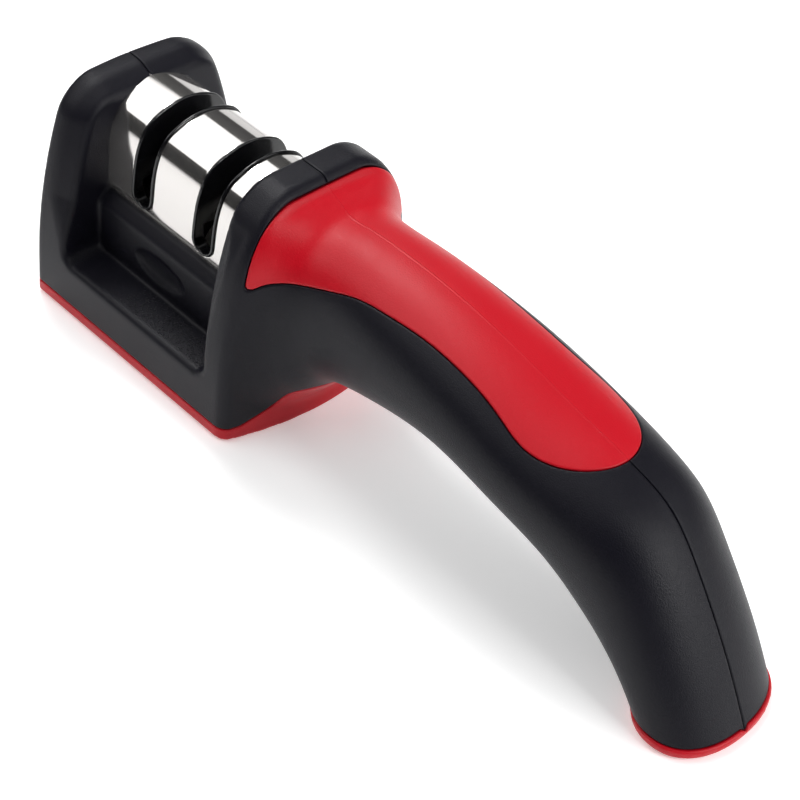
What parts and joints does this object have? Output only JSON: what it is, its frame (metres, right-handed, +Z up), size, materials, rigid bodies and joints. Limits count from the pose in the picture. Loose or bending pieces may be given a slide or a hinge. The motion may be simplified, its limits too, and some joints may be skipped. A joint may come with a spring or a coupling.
{
  "type": "pull through knife sharpener",
  "caption": "Handheld pull-through knife sharpener: moulded head with knife slots under a bent steel cover, freely turning bevelled wheels below them, and an arched soft-grip handle.",
  "frame": {"origin": "middle of the soft pad's foot under the head, on the table", "axes": "+X from the head along the handle, +Y across to the far side, +Z up from the table"},
  "size_m": [0.1812, 0.0508, 0.0544],
  "materials": {
    "black_shell": "satin, fine grain",
    "red_soft": "satin soft touch",
    "black_gloss": "glossy",
    "bright_steel": "mirror polished",
    "inner_plastic": "matt",
    "bush_nylon": "matt",
    "axle_steel": "ground",
    "screw_steel": "zinc plated",
    "coarse_abrasive": "diamond grit on steel",
    "fine_ceramic": "fine fired ceramic"
  },
  "bodies": {
    "body": {"left_shell": "black_shell", "right_shell": "black_shell", "grip_inlay": "red_soft", "base_pad": "red_soft", "end_cap": "red_soft", "base_plate": "inner_plastic", "base_screws": "screw_steel", "steel_cover": "bright_steel", "wheel_cradle": "inner_plastic", "axle_keeper": "inner_plastic", "keeper_screws": "screw_steel", "coarse_slot_liner": "black_gloss", "fine_slot_liner": "black_gloss", "coarse_axle": "axle_steel", "fine_axle": "axle_steel", "coarse_washers": "axle_steel", "fine_washers": "axle_steel"},
    "coarse_front_roller": {"coarse_front_wheel": "coarse_abrasive", "coarse_front_bush": "bush_nylon"},
    "coarse_rear_roller": {"coarse_rear_wheel": "coarse_abrasive", "coarse_rear_bush": "bush_nylon"},
    "fine_front_roller": {"fine_front_wheel": "fine_ceramic", "fine_front_bush": "bush_nylon"},
    "fine_rear_roller": {"fine_rear_wheel": "fine_ceramic", "fine_rear_bush": "bush_nylon"}
  },
  "joints": [
    {"name": "coarse_front_spin", "type": "hinge", "parent": "body", "child": "coarse_front_roller", "pos_m": [-0.0117, 0, 0.0232], "axis": [1, 0, 0], "continuous": true},
    {"name": "coarse_rear_spin", "type": "hinge", "parent": "body", "child": "coarse_rear_roller", "pos_m": [-0.0117, 0, 0.0232], "axis": [1, 0, 0], "continuous": true},
    {"name": "fine_front_spin", "type": "hinge", "parent": "body", "child": "fine_front_roller", "pos_m": [0.0074, 0, 0.0232], "axis": [1, 0, 0], "continuous": true},
    {"name": "fine_rear_spin", "type": "hinge", "parent": "body", "child": "fine_rear_roller", "pos_m": [0.0074, 0, 0.0232], "axis": [1, 0, 0], "continuous": true}
  ]
}
